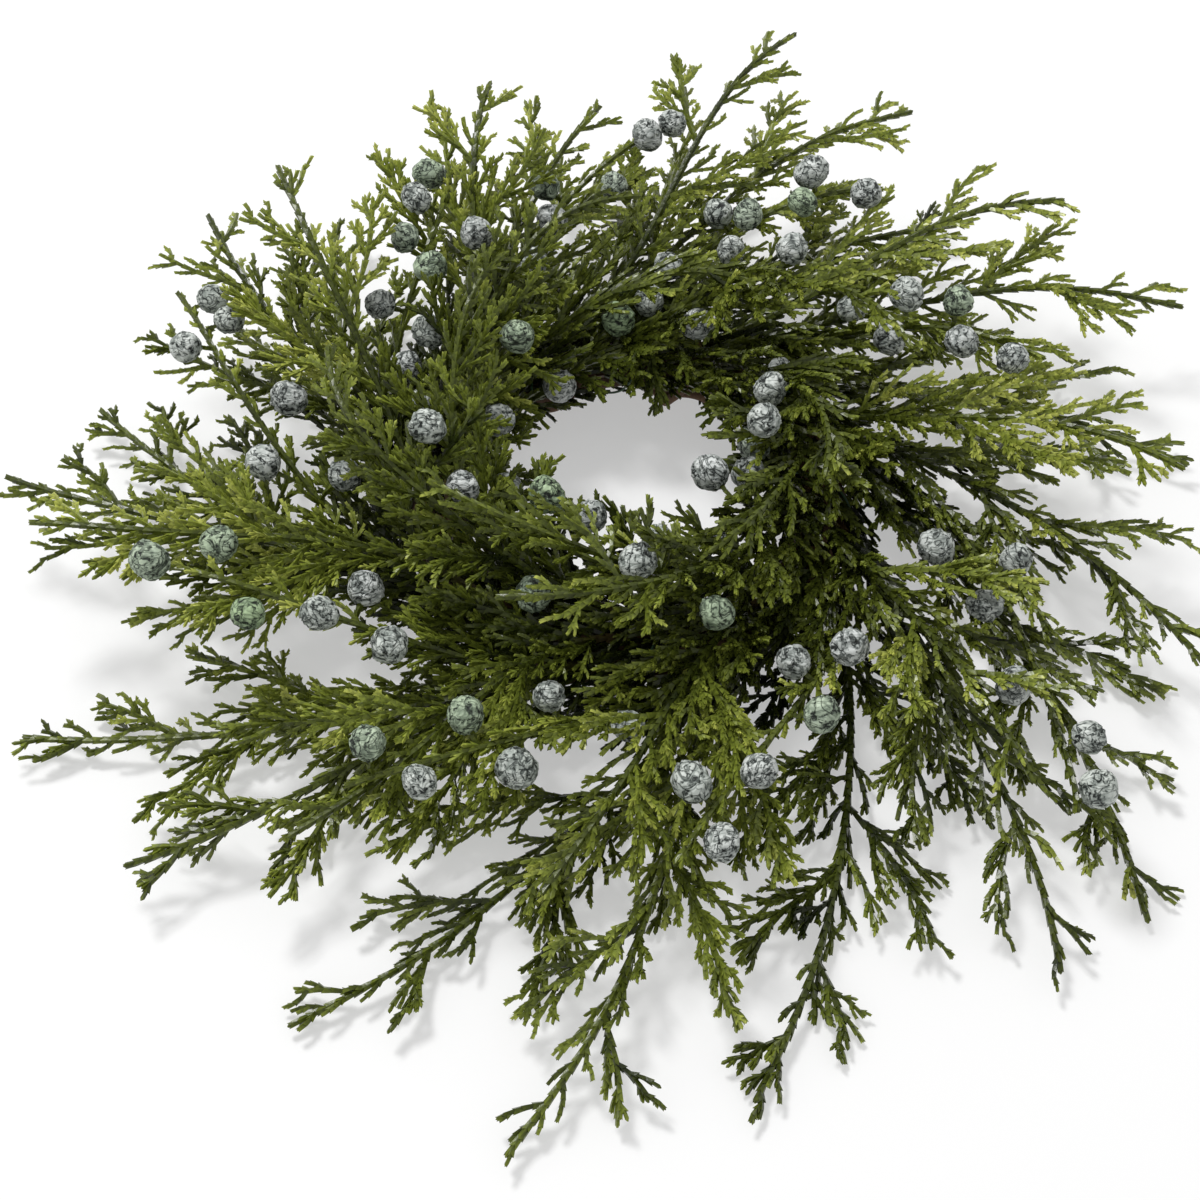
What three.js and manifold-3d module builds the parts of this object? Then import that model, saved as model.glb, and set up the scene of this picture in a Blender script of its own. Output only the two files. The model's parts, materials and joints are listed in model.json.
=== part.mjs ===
// A fresh juniper wreath that lies flat on a table: a ring of four coiled vines held by a thinner wrap
// vine, and nine bunches of greenery tied on by one long binding wire. Each bunch is four leafy sprays
// and two berried twigs, and every bunch leans the same way, clockwise seen from above.
// Millimetres, +Z up. The origin is on the table, under the middle of the whole wreath.
import * as THREE from "three";
import { mergeVertices } from "three/addons/utils/BufferGeometryUtils.js";
import Module from "manifold-3d";

const wasm = await Module();
wasm.setup();

// The ring: four coiled vines side by side, then the wrap vine round them.
const RING_RADIUS = 60;
const RING_HEIGHT = 9.6; // of the ring's line above the table; the wrap vine is worn flat under it
const COIL_VINES = 4;
const COIL_RADIUS = 2.6;
const COIL_OFFSET = 4; // from the ring's line to a coiled vine's own line
const COIL_TWISTS = 2;
const COIL_GAP = 9; // degrees between a coiled vine's two cut ends
const WRAP_RADIUS = 1.5;
const WIRE_RADIUS = 0.4;
const GAP = 0.5; // between pieces that touch
const LEAST_GAP = 0.3; // the least left where pieces pass one another
const FACET_SAG = 0.5; // the straight stretches of a wound piece sit this much nearer the ring

// The bunches: each is tied by one turn of the wire, midway between two turns of the wrap vine.
const BUNCHES = 9;
const BUNCH_TURN = 360 / BUNCHES;
const STEM_RADIUS = 1.1;
const TIED_TURN = 20; // degrees that a cut stem lies along the ring, under the wire
const BARE_TURN = 28; // degrees of the ring from the cut end to the first shoot
const AFTER_WRAP = 5; // degrees from the wrap vine to the stem's cut end
const CLEAR_RADIUS = 30; // the middle of the wreath stays open for a candle

// What follows from them.
const BUNDLE_RADIUS = COIL_OFFSET + COIL_RADIUS;
const WRAP_OFFSET = BUNDLE_RADIUS + GAP + FACET_SAG + WRAP_RADIUS;
const STEM_OFFSET = BUNDLE_RADIUS + GAP + STEM_RADIUS;
const WIRE_OVER_STEMS = STEM_OFFSET + STEM_RADIUS + GAP + FACET_SAG + WIRE_RADIUS;
const WIRE_OVER_VINES = BUNDLE_RADIUS + GAP + FACET_SAG + WIRE_RADIUS;

// Where each spray ends: degrees round the ring, distance from its middle, and height, one row a bunch.
// `around` is where its stem lies on the ring's own section: 0 is outside, 90 is on top, 180 is inside.
const SPRAYS = {
  spray_low: {
    around: -35,
    droop: 0.1,
    lean: 38,
    width: 74,
    tips: [
      [5, 180, 9],
      [48, 178, 10],
      [88, 168, 12],
      [128, 164, 10],
      [166, 176, 8],
      [207, 194, 6],
      [244, 200, 4],
      [279, 203, 4],
      [313, 203, 4],
    ],
  },
  spray_mid: {
    around: 39,
    droop: 0.2,
    lean: 36,
    width: 76,
    tips: [
      [20, 194, 30],
      [56, 180, 46],
      [101, 156, 44],
      [145, 168, 44],
      [182, 188, 28],
      [225, 192, 12],
      [262, 218, 5],
      [304, 200, 7],
      [336, 182, 18],
    ],
  },
  spray_high: {
    around: 76,
    droop: 0.15,
    lean: 30,
    width: 64,
    tips: [
      [34, 174, 50],
      [71, 188, 58],
      [108, 146, 66],
      [140, 146, 66],
      [194, 176, 46],
      [237, 164, 28],
      [262, 160, 34],
      [316, 164, 34],
      [352, 164, 48],
    ],
  },
  spray_crown: {
    around: 113,
    droop: 0.3,
    lean: 80,
    width: 40,
    tips: [
      [-30, 64, 54],
      [8, 84, 66],
      [50, 62, 56],
      [88, 78, 66],
      [130, 62, 58],
      [168, 88, 66],
      [212, 66, 56],
      [248, 90, 60],
      [290, 64, 54],
    ],
  },
};
const TWIGS = {
  berry_twig_outer: {
    around: 18,
    droop: 0.15,
    lean: 40,
    berries: 6,
    tips: [
      [10, 130, 50],
      [50, 132, 52],
      [84, 138, 50],
      [120, 112, 54],
      [160, 150, 50],
      [204, 144, 46],
      [240, 148, 38],
      [274, 150, 36],
      [312, 176, 30],
    ],
  },
  berry_twig_inner: {
    around: 150,
    droop: -0.1,
    lean: 110,
    berries: 3,
    tips: [
      [-20, 48, 52],
      [40, 66, 60],
      [62, 46, 36],
      [120, 70, 60],
      [142, 46, 48],
      [195, 66, 58],
      [224, 44, 40],
      [264, 70, 52],
      [306, 46, 48],
    ],
  },
};

// The side shoots of a spray, and the berries of a twig.
const SHOOT_SPACING = 23;
const SHOOT_ANGLE = 34;
const SHOOT_ROOT_RADIUS = 1;
const SHOOT_TIP_RADIUS = 0.7;
const BERRY_RADIUS = 5.2;
const STALK_RADIUS = 0.8;
const STALK_LENGTH = 4.5; // from the twig to the berry's skin, give or take STALK_SPREAD
const STALK_SPREAD = 2.5;
const STALK_ANGLE = 70;

const VINE_SIDES = 5;
const STEM_SIDES = 4;
const SHOOT_SIDES = 3;
const VINE_STEPS = 30;
const STEM_STEPS = 10;
const STEPS_A_TURN = 9; // of the wrap vine and of the wire

const finish = (color, roughness) => new THREE.MeshStandardMaterial({ color, roughness, metalness: 0 });
const BARK = finish(0x5a3a26, 0.85);
const PALE_BARK = finish(0x7a5433, 0.85);
const FOLIAGE = finish(0x4f6b24, 0.5);
const BERRY = finish(0x8e9ca6, 0.6);
const WIRE = new THREE.MeshStandardMaterial({ color: 0x2f4a2c, roughness: 0.4, metalness: 0.7 });

const UP = new THREE.Vector3(0, 0, 1);
const radians = THREE.MathUtils.degToRad;

// A repeatable number from -1 to 1 for each whole-number seed.
function unrest(seed) {
  const x = Math.sin(seed * 12.9898 + 4.1) * 43758.5453;
  return 2 * (x - Math.floor(x)) - 1;
}

// ---- Places on the ring ----

const radial = (turn) => new THREE.Vector3(Math.cos(radians(turn)), Math.sin(radians(turn)), 0);
const clockwise = (turn) => radial(turn - 90);

// The way out of the ring's section, `around` degrees over from its outer side.
const outOfRing = (turn, around) =>
  radial(turn).multiplyScalar(Math.cos(radians(around))).addScaledVector(UP, Math.sin(radians(around)));

const onRing = (turn, around, offset) =>
  radial(turn)
    .multiplyScalar(RING_RADIUS)
    .setZ(RING_HEIGHT)
    .addScaledVector(outOfRing(turn, around), offset);

// A line that winds round the ring: place(turn) gives [around, offset] at each turn, in degrees.
class Winding extends THREE.Curve {
  constructor(start, sweep, place) {
    super();
    Object.assign(this, { start, sweep, place });
  }
  getPoint(t, target = new THREE.Vector3()) {
    const turn = this.start + this.sweep * t;
    const [around, offset] = this.place(turn);
    return target.copy(onRing(turn, around, offset));
  }
}

// The wrap vine is under the ring at turn 0, and goes round it once a bunch.
const wrapAround = (turn) => BUNCHES * turn - 90;
const wrapTurn = (around, bunch) => (around + 90) / BUNCHES + bunch * BUNCH_TURN;

// ---- Solids ----

function solidOf(geometry) {
  const plain = geometry.index ? geometry.toNonIndexed() : geometry.clone();
  for (const name of Object.keys(plain.attributes)) if (name !== "position") plain.deleteAttribute(name);
  const merged = mergeVertices(plain, 1e-3);
  return new wasm.Manifold(
    new wasm.Mesh({
      numProp: 3,
      vertProperties: merged.attributes.position.array,
      triVerts: new Uint32Array(merged.index.array),
    }),
  );
}

function meshOf(name, solid, material) {
  const { numProp, vertProperties, triVerts } = solid.getMesh();
  const geometry = new THREE.BufferGeometry();
  geometry.setAttribute("position", new THREE.BufferAttribute(vertProperties.slice(), numProp));
  geometry.setIndex(new THREE.BufferAttribute(triVerts.slice(), 1));
  geometry.computeVertexNormals();
  const mesh = new THREE.Mesh(geometry, material);
  mesh.name = name;
  return mesh;
}

// A round bar of one radius along a curve, with flat ends.
function bar(curve, radius, sides, steps) {
  const section = new THREE.Shape();
  for (let i = 0; i < sides; i++) {
    const angle = (2 * Math.PI * i) / sides;
    section[i ? "lineTo" : "moveTo"](radius * Math.cos(angle), radius * Math.sin(angle));
  }
  section.closePath();
  return solidOf(new THREE.ExtrudeGeometry(section, { extrudePath: curve, steps, bevelEnabled: false }));
}

// A tapered shoot or stalk from one point to another.
function taper(from, to, rootRadius, tipRadius, sides) {
  const length = from.distanceTo(to);
  const along = to.clone().sub(from).divideScalar(length);
  const geometry = new THREE.CylinderGeometry(tipRadius, rootRadius, length, sides);
  const turn = new THREE.Quaternion().setFromUnitVectors(new THREE.Vector3(0, 1, 0), along);
  geometry.applyQuaternion(turn);
  geometry.translate(...from.clone().add(to).multiplyScalar(0.5));
  return solidOf(geometry);
}

// ---- Room: every piece is kept as straight stretches with a radius, so the next can keep clear ----

const taken = [];

function take(owner, points, radius) {
  for (let i = 1; i < points.length; i++)
    taken.push({ owner, line: new THREE.Line3(points[i - 1], points[i]), radius });
}

const nearest = new THREE.Vector3();

// Whether a stretch of this radius clears the table, the candle's room and all other pieces.
function isClear(owner, from, to, radius) {
  const samples = Math.max(1, Math.ceil(from.distanceTo(to) / 1.5));
  for (let i = 0; i <= samples; i++) {
    const point = from.clone().lerp(to, i / samples);
    if (point.z < radius + LEAST_GAP) return false;
    if (Math.hypot(point.x, point.y) < CLEAR_RADIUS + radius) return false;
    for (const other of taken) {
      if (other.owner === owner) continue;
      other.line.closestPointToPoint(point, true, nearest);
      if (nearest.distanceTo(point) < radius + other.radius + LEAST_GAP) return false;
    }
  }
  return true;
}

const allClear = (owner, points, radius) =>
  points.every((point, i) => i === 0 || isClear(owner, points[i - 1], point, radius));

// ---- The ring ----

const wreath = new THREE.Group();

const coils = Array.from({ length: COIL_VINES }, (_, k) => {
  const start = 35 + (360 / COIL_VINES) * k + 12 * unrest(k);
  const place = (turn) => [(360 / COIL_VINES) * k + COIL_TWISTS * turn, COIL_OFFSET];
  return new Winding(start, 360 - COIL_GAP, place);
});

const wrap = new Winding(14, 350, (turn) => [wrapAround(turn), WRAP_OFFSET]);

// The wire runs half a turn behind the wrap vine, wide over the tied stems and tight over bare vines.
const wire = new Winding(24, 352, (turn) => {
  const around = wrapAround(turn) + 180;
  const overStems = THREE.MathUtils.smoothstep(Math.sin(radians(around + 32)), -0.75, -0.35);
  return [around, THREE.MathUtils.lerp(WIRE_OVER_VINES, WIRE_OVER_STEMS, overStems)];
});

coils.forEach((coil, k) => {
  const solid = bar(coil, COIL_RADIUS, VINE_SIDES, VINE_STEPS);
  wreath.add(meshOf(`coil_vine_${k + 1}`, solid, k % 2 ? PALE_BARK : BARK));
  take("ring", coil.getSpacedPoints(80), COIL_RADIUS);
});

const wrapSolid = bar(wrap, WRAP_RADIUS, VINE_SIDES, STEPS_A_TURN * BUNCHES).trimByPlane([0, 0, 1], 0);
wreath.add(meshOf("wrap_vine", wrapSolid, PALE_BARK));
take("ring", wrap.getSpacedPoints(20 * BUNCHES), WRAP_RADIUS);

wreath.add(meshOf("binding_wire", bar(wire, WIRE_RADIUS, 3, STEPS_A_TURN * BUNCHES), WIRE));
take("ring", wire.getSpacedPoints(20 * BUNCHES), WIRE_RADIUS);

// ---- Stems: every stem is laid before any shoot or berry, and each is eased until it is clear ----

// A stem lies along the ring under the wire, then bends away in one smooth sweep to its tip.
function stemCurve(plan, bunch, ease) {
  const root = wrapTurn(plan.around, bunch + 2) - AFTER_WRAP;
  const leave = root - TIED_TURN;
  const tied = [0, 1 / 3, 2 / 3].map((t) => onRing(root - TIED_TURN * t, plan.around, STEM_OFFSET));
  const start = onRing(leave, plan.around, STEM_OFFSET);
  const [turn, reach, height] = plan.tips[bunch];
  const tip = radial(turn + ease.turn).multiplyScalar(reach).setZ(height + ease.rise);
  const third = start.distanceTo(tip) / 3;
  const outward = outOfRing(leave, Math.max(plan.around, 5));
  const away = clockwise(leave).addScaledVector(outward, 0.45 + ease.lift);
  const arriving = radial(turn - plan.lean).setZ(-plan.droop).normalize();
  const sweep = new THREE.CubicBezierCurve3(
    start,
    start.clone().addScaledVector(away.normalize(), third),
    tip.clone().addScaledVector(arriving, -third),
    tip,
  );
  return new THREE.CatmullRomCurve3([...tied, ...sweep.getPoints(5)]);
}

// The eases tried on a stem, smallest first.
const eases = [];
for (const rise of [0, 2.5, -2.5, 5, -5, 8, 11])
  for (const lift of [0, 0.15, 0.3, -0.1, 0.5])
    for (const turn of [0, 2.5, -2.5, 5, -5, 8, -8]) eases.push({ rise, lift, turn });
const effort = ({ rise, lift, turn }) => Math.abs(rise) + 12 * Math.abs(lift) + 1.2 * Math.abs(turn);
eases.sort((a, b) => effort(a) - effort(b));

function layStem(owner, plan, bunch) {
  for (const ease of eases) {
    const curve = stemCurve(plan, bunch, ease);
    const points = curve.getSpacedPoints(30);
    if (!allClear(owner, points, STEM_RADIUS)) continue;
    take(owner, points, STEM_RADIUS);
    return curve;
  }
  throw new Error(`${owner} has no clear way to its tip`);
}

const stems = new Map();
for (const plans of [SPRAYS, TWIGS])
  for (const [kind, plan] of Object.entries(plans))
    for (let bunch = 0; bunch < BUNCHES; bunch++) {
      const name = `${kind}_${bunch + 1}`;
      stems.set(name, { plan, seed: stems.size * 31, curve: layStem(name, plan, bunch) });
    }

// ---- Berries, then shoots ----

// Where a side piece can grow: first as planned, then a little further along or back on the stem.
const SLIDES = [0, 0.02, -0.02, 0.04];
const BURIED = 2.5; // of a side piece's length that is inside or beside its own stem

// The way off a stem at t: `forward` degrees from the stem's own way, `over` degrees round it from level.
function offStem(curve, t, forward, over) {
  const along = curve.getTangentAt(t);
  const level = new THREE.Vector3().crossVectors(along, UP).normalize();
  const aside = level.applyAxisAngle(along, radians(over));
  return along.multiplyScalar(Math.cos(radians(forward))).addScaledVector(aside, Math.sin(radians(forward)));
}

// The first clear place near t for a side piece, trying each way over in `overs`.
// `blocked` says whether the piece from one point, in one direction, would touch anything.
function findRoom(curve, t, forward, overs, blocked) {
  for (const slide of SLIDES)
    for (const over of overs) {
      const place = Math.min(1, t + slide);
      const from = curve.getPointAt(place);
      const way = offStem(curve, place, forward, over);
      if (!blocked(from, way)) return { from, way };
    }
  return null;
}

// A berry on its stalk, or nothing where there is no room for one. Berries stand up in the light if they can.
function berry(name, curve, t, seed) {
  const overs = (unrest(seed) < 0 ? [-35, -145, -90, 0, 180, 90] : [-145, -35, -90, 180, 0, 90]).map(
    (over) => over + 25 * unrest(seed + 0.25),
  );
  const reach = STEM_RADIUS + STALK_LENGTH + STALK_SPREAD * unrest(seed + 0.5) + BERRY_RADIUS;
  const middleOf = (from, way) => from.clone().addScaledVector(way, reach);
  const blocked = (from, way) => !isClear(name, middleOf(from, way), middleOf(from, way), BERRY_RADIUS);
  const room = findRoom(curve, t, STALK_ANGLE, overs, blocked);
  if (!room) return null;
  const middle = middleOf(room.from, room.way);
  take(`${name}:berry`, [middle, middle], BERRY_RADIUS);
  take(name, [room.from, middle], STALK_RADIUS);
  const ball = solidOf(new THREE.IcosahedronGeometry(BERRY_RADIUS, 0).translate(...middle));
  return ball.add(taper(room.from, middle, STALK_RADIUS, STALK_RADIUS, SHOOT_SIDES));
}

// A shoot as long as there is room for: the full length, then three quarters, then half.
function shoot(name, curve, t, overs, fullLength) {
  for (const length of [fullLength, 0.75 * fullLength, 0.5 * fullLength]) {
    const at = (from, way, distance) => from.clone().addScaledVector(way, distance);
    const blocked = (from, way) =>
      !isClear(name, at(from, way, BURIED), at(from, way, length), SHOOT_ROOT_RADIUS);
    const room = findRoom(curve, t, SHOOT_ANGLE, overs, blocked);
    if (!room) continue;
    const end = at(room.from, room.way, length);
    take(name, [room.from, end], SHOOT_ROOT_RADIUS);
    return taper(room.from, end, SHOOT_ROOT_RADIUS, SHOOT_TIP_RADIUS, SHOOT_SIDES);
  }
  return null;
}

// Berries sit along the outer half of a twig, unevenly.
function berriesOf(name, { plan, seed, curve }) {
  return Array.from({ length: plan.berries }, (_, i) => {
    const evenly = 0.5 + (0.45 * i) / (plan.berries - 1);
    return berry(name, curve, evenly + 0.05 * unrest(seed + 7 * i), seed + i);
  });
}

// Shoots leave the two sides of a spray's free part in turn, and get shorter towards its tip.
function shootsOf(name, { plan, seed, curve }) {
  const length = curve.getLength();
  const bare = (BARE_TURN * Math.PI * RING_RADIUS) / 180 / length;
  const count = Math.floor((length * (1 - bare)) / SHOOT_SPACING);
  return Array.from({ length: count }, (_, i) => {
    const share = (i + 0.5) / count;
    const t = bare + (0.97 - bare) * share;
    const fullLength = plan.width * Math.min(1, 0.55 + 1.5 * share) * (1.12 - share);
    const side = i % 2 ? 180 : 0;
    const overs = [0, 18, -18, 36, -36].map((over) => side + over + 10 * unrest(seed + i));
    return shoot(name, curve, t, overs, fullLength);
  });
}

// All berries are placed before any shoot, because a berry needs the most room.
const grown = new Map();
for (const [name, stem] of stems) if (stem.plan.berries) grown.set(name, berriesOf(name, stem));
for (const [name, stem] of stems) if (stem.plan.width) grown.set(name, shootsOf(name, stem));

for (const [name, { curve, plan }] of stems) {
  const stem = bar(curve, STEM_RADIUS, STEM_SIDES, STEM_STEPS);
  const whole = grown.get(name).reduce((joined, piece) => (piece ? joined.add(piece) : joined), stem);
  wreath.add(meshOf(name, whole, plan.berries ? BERRY : FOLIAGE));
}

// The whole wreath is set with its middle over the origin.
const box = new THREE.Box3().setFromObject(wreath);
const middle = box.getCenter(new THREE.Vector3());
wreath.position.set(-middle.x, -middle.y, 0);

export default wreath;
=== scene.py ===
# %% [markdown]
# # A fresh juniper wreath
#
# The wreath lies flat on a table. A ring of four twisted vines carries nine bunches of juniper, and every
# bunch leans the same way, clockwise seen from above. The CAD model gives each piece's place: the path of
# every vine, the stem of every spray and the middle of every berry are read from it here. This script then
# builds what a CAD model leaves out: scale leaves, bark, and the dusty bloom on the berries.
#
# Lengths are in metres. `MM` is one millimetre, so most sizes below are written as so many `MM`.

import json

import bpy
import numpy as np
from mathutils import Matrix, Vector

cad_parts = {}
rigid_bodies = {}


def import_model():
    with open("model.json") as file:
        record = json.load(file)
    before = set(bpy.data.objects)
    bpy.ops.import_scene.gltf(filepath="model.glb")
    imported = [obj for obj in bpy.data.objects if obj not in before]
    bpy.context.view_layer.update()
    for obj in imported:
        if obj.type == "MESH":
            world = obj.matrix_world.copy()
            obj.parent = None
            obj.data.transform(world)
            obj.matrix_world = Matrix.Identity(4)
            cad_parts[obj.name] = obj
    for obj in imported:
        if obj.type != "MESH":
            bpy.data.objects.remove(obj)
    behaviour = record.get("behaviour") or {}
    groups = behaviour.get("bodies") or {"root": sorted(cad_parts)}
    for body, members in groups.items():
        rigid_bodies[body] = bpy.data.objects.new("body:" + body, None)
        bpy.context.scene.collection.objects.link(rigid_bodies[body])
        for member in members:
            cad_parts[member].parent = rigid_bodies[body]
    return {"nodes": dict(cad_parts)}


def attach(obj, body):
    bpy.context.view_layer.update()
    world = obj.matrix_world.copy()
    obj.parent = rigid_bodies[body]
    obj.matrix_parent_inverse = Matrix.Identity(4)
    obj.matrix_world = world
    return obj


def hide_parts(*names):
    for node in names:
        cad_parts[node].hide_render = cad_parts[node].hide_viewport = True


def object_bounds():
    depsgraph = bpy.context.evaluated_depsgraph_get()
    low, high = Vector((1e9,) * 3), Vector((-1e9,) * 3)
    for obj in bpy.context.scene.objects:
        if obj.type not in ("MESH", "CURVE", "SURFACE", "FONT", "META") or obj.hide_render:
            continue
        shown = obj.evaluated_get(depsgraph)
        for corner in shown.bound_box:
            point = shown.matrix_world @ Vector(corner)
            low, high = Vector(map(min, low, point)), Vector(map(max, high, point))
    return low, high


for thing in list(bpy.data.objects):
    bpy.data.objects.remove(thing)

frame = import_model()
cad_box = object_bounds()

MM = 0.001
print("CAD box in mm:", [[round(v / MM, 1) for v in corner] for corner in cad_box])


# %% [markdown]
# ## Reading a solid
#
# A CAD node arrives as loose triangles. Points at the same place are joined first, so that each corner of
# the solid is counted once. Vectors are kept as numpy arrays whose last axis is x, y, z, and a whole bunch
# of twigs is worked out in one go.

# %% Helpers for solids and vectors
SAME_PLACE = 0.01 * MM


def unit(vectors):
    """Each vector divided by its own length."""
    return vectors / np.maximum(np.linalg.norm(vectors, axis=-1, keepdims=True), 1e-12)


def solid(name):
    """A CAD node's corners (n, 3) and its triangles as corner numbers (m, 3). Points that round to the same
    step of SAME_PLACE are one corner."""
    mesh = frame["nodes"][name].data
    mesh.calc_loop_triangles()
    corners = np.empty(3 * len(mesh.vertices))
    mesh.vertices.foreach_get("co", corners)
    triangles = np.empty(3 * len(mesh.loop_triangles), int)
    mesh.loop_triangles.foreach_get("vertices", triangles)
    corners = corners.reshape(-1, 3)
    steps = np.round(corners / SAME_PLACE)
    _, first, number = np.unique(steps, axis=0, return_index=True, return_inverse=True)
    return corners[first], number.reshape(-1)[triangles].reshape(-1, 3)


def edges_of(triangles):
    """Every edge of the triangles once, as a pair of corner numbers."""
    pairs = np.concatenate([triangles[:, [0, 1]], triangles[:, [1, 2]], triangles[:, [2, 0]]])
    return np.unique(np.sort(pairs, axis=1), axis=0)


def even_line(points, count):
    """The same line with `count` points evenly spaced along its length."""
    steps = np.linalg.norm(np.diff(points, axis=0), axis=1)
    distance = np.concatenate([[0], np.cumsum(steps)])
    wanted = np.linspace(0, distance[-1], count)
    return np.stack([np.interp(wanted, distance, points[:, axis]) for axis in range(3)], axis=1)


node_names = sorted(frame["nodes"])
print(len(node_names), "CAD nodes")

# %% [markdown]
# ## Where the ring is
#
# The coiled vines give the ring: its middle, its radius and its height. A place on it is then three numbers:
# the turn round the ring, the angle over the ring's own section (0 outside, a quarter turn on top) and the
# distance from the ring's line.

# %% Measure the ring
coil_names = [name for name in node_names if name.startswith("coil_vine")]
coil_corners = np.concatenate([solid(name)[0] for name in coil_names])
ring_middle = (coil_corners.min(axis=0) + coil_corners.max(axis=0)) / 2
ring_radius = np.hypot(*(coil_corners - ring_middle)[:, :2].T).mean()


def around_ring(points):
    """The turn, the angle over the section and the offset of points, from their place by the ring's line."""
    away = points - ring_middle
    turn = np.arctan2(away[..., 1], away[..., 0])
    out = np.hypot(away[..., 0], away[..., 1]) - ring_radius
    return turn, np.arctan2(away[..., 2], out), np.hypot(out, away[..., 2])


def on_ring(turn, over, offset):
    """The point at a turn: ring radius plus the outward share of the offset, and the rest of it upwards."""
    out = ring_radius + offset * np.cos(over)
    return ring_middle + np.stack([out * np.cos(turn), out * np.sin(turn), offset * np.sin(over)], axis=-1)


print("ring middle", ring_middle.round(4), "radius", ring_radius.round(4))

# %% [markdown]
# ## Surfaces from grids
#
# Every piece here is one kind of surface: a grid of points whose rows are closed rings and whose two ends
# are capped, so it is a closed skin. A vine is one such grid, a leafy twig is another, and so is a berry,
# whose rings shrink almost to nothing at its two poles. All caps are made of four-sided faces too.

# %% Grids to a mesh
def grid_faces(rows, sides):
    """Four-sided faces of one capped grid, as point numbers: between rows, then over both end rings."""
    row, side = np.meshgrid(np.arange(rows - 1), np.arange(sides), indexing="ij")
    after = (side + 1) % sides
    here = row * sides + side
    beside = row * sides + after
    skin = np.stack([here, beside, beside + sides, here + sides], axis=-1)
    fan = np.arange(1, sides - 2, 2)
    cap = np.stack([np.zeros_like(fan), fan, fan + 1, fan + 2], axis=-1)
    return np.concatenate([skin.reshape(-1, 4), cap[:, ::-1], cap + (rows - 1) * sides])


def new_piece(name, grids, material, marks=(), smooth=False):
    """A Blender object from a list of grids (n, rows, sides, 3), each holding n closed skins alike.
    `marks` names further values kept at every point, given after each grid's points."""
    points, faces, values, start = [], [], {mark: [] for mark in marks}, 0
    for grid, *extra in grids:
        count, rows, sides, _ = grid.shape
        shape = grid_faces(rows, sides)
        first = start + np.arange(count)[:, None, None] * rows * sides
        faces.append((shape[None] + first).reshape(-1, 4))
        points.append(grid.reshape(-1, 3))
        for mark, value in zip(marks, extra):
            values[mark].append(np.broadcast_to(value, grid.shape[:3]).reshape(-1))
        start += count * rows * sides
    points, faces = np.concatenate(points), np.concatenate(faces)
    mesh = bpy.data.meshes.new(name)
    mesh.vertices.add(len(points))
    mesh.vertices.foreach_set("co", points.astype(np.float32).ravel())
    mesh.loops.add(faces.size)
    mesh.loops.foreach_set("vertex_index", faces.astype(np.int32).ravel())
    mesh.polygons.add(len(faces))
    mesh.polygons.foreach_set("loop_start", np.arange(0, faces.size, 4, dtype=np.int32))
    mesh.update(calc_edges=True)
    mesh.polygons.foreach_set("use_smooth", np.full(len(faces), smooth))
    for mark in marks:
        layer = mesh.attributes.new(mark, "FLOAT", "POINT")
        layer.data.foreach_set("value", np.concatenate(values[mark]).astype(np.float32))
    mesh.materials.append(material)
    piece = bpy.data.objects.new(name, mesh)
    bpy.context.scene.collection.objects.link(piece)
    return piece


def tube_grid(lines, flats, radii):
    """Rings round lines (n, rows, 3). Flats, (n, 3) or (n, rows, 3), is the way that faces up, and radii
    (n, rows, sides) is each point's distance: point = line + radius × (cos × sideways + sin × up)."""
    ways = unit(np.gradient(lines, axis=1))
    flats = np.broadcast_to(flats if flats.ndim == 3 else flats[:, None], lines.shape)
    sideways = unit(np.cross(flats, ways))
    upward = np.cross(ways, sideways)
    angle = 2 * np.pi * np.arange(radii.shape[2]) / radii.shape[2]
    spokes = np.cos(angle)[:, None] * sideways[:, :, None] + np.sin(angle)[:, None] * upward[:, :, None]
    return lines[:, :, None] + radii[..., None] * spokes


# %% [markdown]
# ## Materials
#
# Leaves, bark, berries and wire are each one procedural material. Colour variation comes from noise in the
# object's own coordinates and from marks stored at the points while a piece is made, such as how young a
# twig is, with painted light and shade by place mixed in. Those stay with the surface from every side.

# %% Helpers for materials
def new_material(name, roughness, **sockets):
    """A material, its node tree and its main shader. Values that are the same all over go on the shader's own
    sockets."""
    material = bpy.data.materials.new(name)
    material.use_nodes = True
    shader = material.node_tree.nodes["Principled BSDF"]
    shader.inputs["Roughness"].default_value = roughness
    for socket, value in sockets.items():
        shader.inputs[socket.replace("_", " ")].default_value = value
    return material, material.node_tree, shader


def mark_value(tree, name):
    """The value stored at the points under this name."""
    node = tree.nodes.new("ShaderNodeAttribute")
    node.attribute_name = name
    return node.outputs["Fac"]


def noise(tree, size, detail=3, distortion=0.0, stretch=None):
    """Smooth noise whose blotches are about `size` metres across, in the object's own coordinates."""
    place = tree.nodes.new("ShaderNodeTexCoord").outputs["Object"]
    if stretch:
        mapping = tree.nodes.new("ShaderNodeMapping")
        mapping.inputs["Scale"].default_value = stretch
        tree.links.new(place, mapping.inputs["Vector"])
        place = mapping.outputs["Vector"]
    node = tree.nodes.new("ShaderNodeTexNoise")
    node.inputs["Scale"].default_value = 1 / size
    node.inputs["Detail"].default_value = detail
    node.inputs["Distortion"].default_value = distortion
    tree.links.new(place, node.inputs["Vector"])
    return node.outputs["Fac"]


def ramp(tree, value, stops):
    """Turns a value from 0 to 1 into a colour, by stops of (position, (red, green, blue))."""
    node = tree.nodes.new("ShaderNodeValToRGB")
    tree.links.new(value, node.inputs["Fac"])
    steps = node.color_ramp.elements
    while len(steps) < len(stops):
        steps.new(0.5)
    for step, (position, colour) in zip(steps, stops):
        step.position = position
        step.color = (*colour, 1)
    return node.outputs["Color"]


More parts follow.
